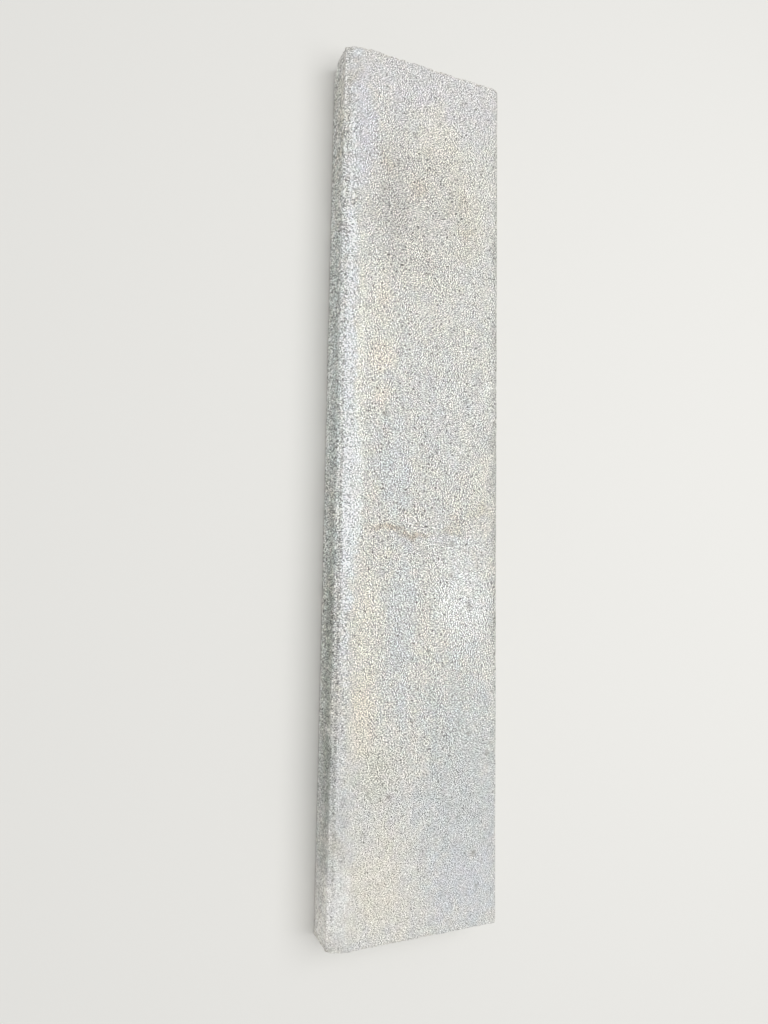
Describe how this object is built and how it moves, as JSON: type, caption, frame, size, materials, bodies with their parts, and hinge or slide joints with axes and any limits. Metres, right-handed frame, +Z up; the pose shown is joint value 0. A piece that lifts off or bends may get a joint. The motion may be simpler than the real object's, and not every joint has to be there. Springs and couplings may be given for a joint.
{
  "type": "concrete kerb stone",
  "caption": "Straight precast concrete kerb stone with a bevelled long edge and square butt ends, lying on its broad back.",
  "frame": {"origin": "middle of the underside, which is the stone's broad back", "axes": "+X along the kerb, +Y across its broad face from the bevelled road edge to the square bed edge, +Z up through its thickness, out of the face that is seen in use"},
  "size_m": [1, 0.2, 0.05],
  "materials": {
    "pressed_concrete": "fine, matt, earth-dry pressed concrete with a sandy grain and small open pores"
  },
  "bodies": {
    "root": {"kerb_stone": "pressed_concrete"}
  },
  "joints": []
}
